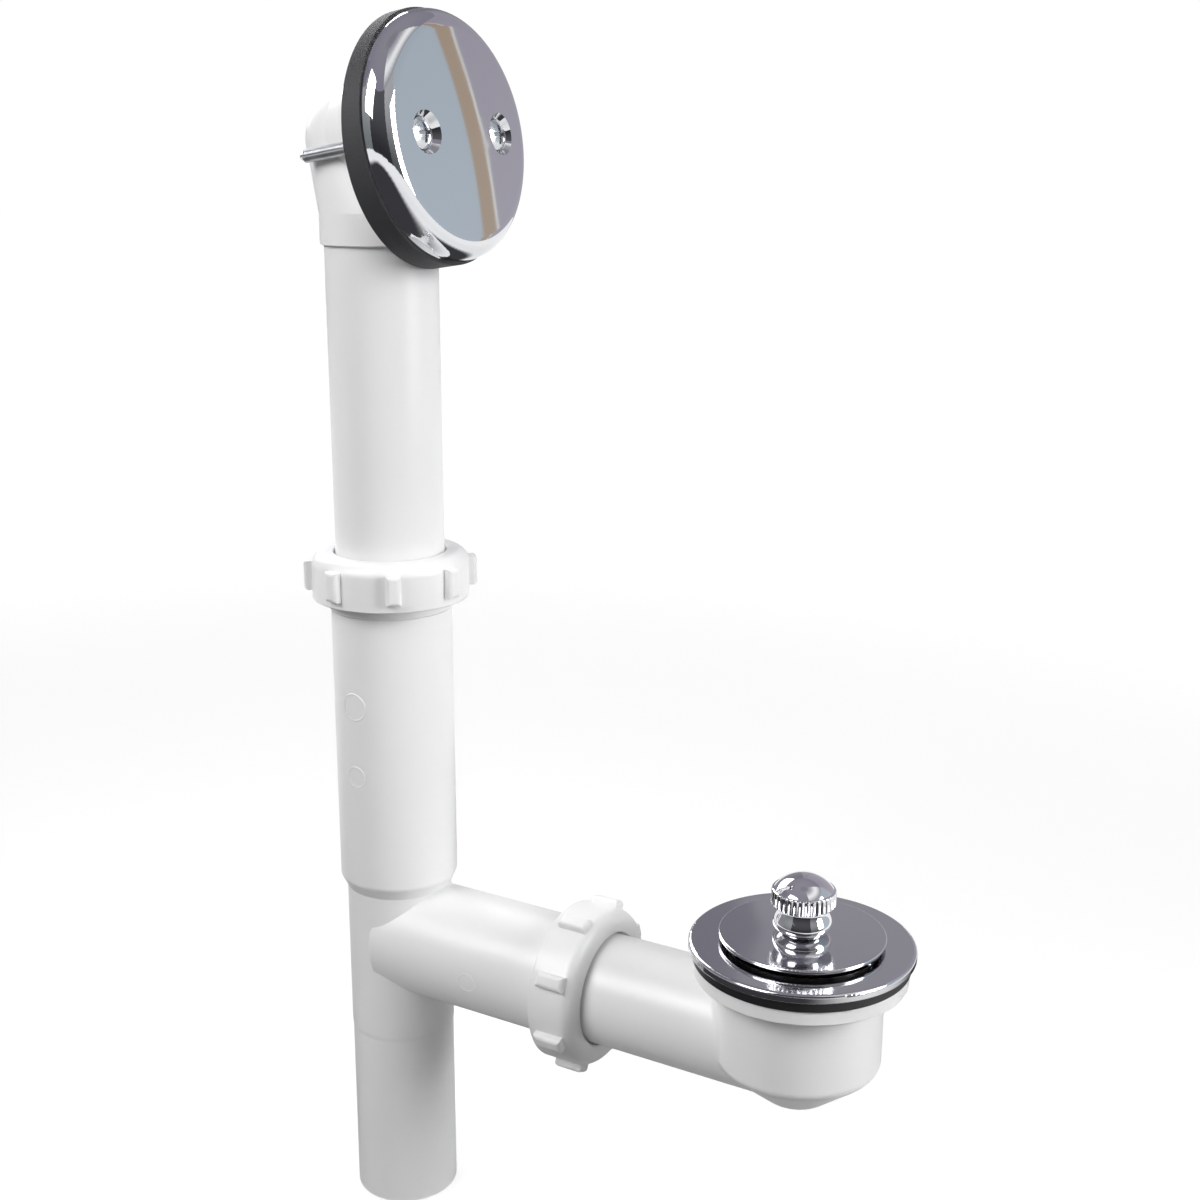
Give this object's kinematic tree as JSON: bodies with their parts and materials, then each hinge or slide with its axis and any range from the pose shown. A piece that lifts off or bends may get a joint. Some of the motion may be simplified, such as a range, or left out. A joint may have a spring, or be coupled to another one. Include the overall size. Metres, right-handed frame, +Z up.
{
  "type": "bath drain",
  "caption": "Bath waste and overflow: slip-jointed white tube column with a tailpiece, domed overflow plate, and a drain shoe with a lift-and-turn stopper.",
  "frame": {"origin": "centre of the tailpiece's lower end", "axes": "+Z up the column, +X along the branch from the tee to the drain, +Y completes the right-handed frame"},
  "size_m": [0.2277, 0.081, 0.4287],
  "materials": {
    "white_plastic": "satin white moulding",
    "washer_plastic": "soft slip washer",
    "foam": "closed-cell foam",
    "black_rubber": "moulded rubber",
    "chrome": "mirror chrome",
    "satin_chrome": "satin chrome",
    "screw_steel": "plated steel",
    "pin_steel": "stainless steel",
    "brass": "turned brass"
  },
  "bodies": {
    "tee": {"waste_tee": "white_plastic", "upper_slip_nut": "white_plastic", "upper_slip_washer": "washer_plastic", "branch_slip_nut": "white_plastic", "branch_slip_washer": "washer_plastic"},
    "overflow": {"overflow_tube": "white_plastic", "overflow_elbow": "white_plastic", "overflow_gasket": "foam", "overflow_plate": "chrome", "overflow_screws": "screw_steel"},
    "shoe": {"drain_shoe": "white_plastic", "shoe_gasket": "black_rubber", "drain_flange": "satin_chrome", "stopper_guide": "brass"},
    "stopper": {"stopper_disc": "satin_chrome", "stopper_seal": "black_rubber"},
    "knob": {"stopper_knob": "chrome", "knob_set_screw": "pin_steel", "stopper_post": "brass", "stopper_pin": "pin_steel", "post_clip": "pin_steel"}
  },
  "joints": [
    {"name": "overflow_height", "type": "slide", "parent": "tee", "child": "overflow", "axis": [0, 0, 1], "range_m": [-0.015, 0.05]},
    {"name": "shoe_reach", "type": "slide", "parent": "tee", "child": "shoe", "axis": [1, 0, 0], "range_m": [-0.012, 0.02]},
    {"name": "stopper_lift", "type": "slide", "parent": "shoe", "child": "stopper", "axis": [0, 0, 1], "range_m": [0, 0.0095]},
    {"name": "knob_turn", "type": "hinge", "parent": "stopper", "child": "knob", "pos_m": [0.161, 0, 0.144], "axis": [0, 0, 1], "range_deg": [0, 90]}
  ]
}
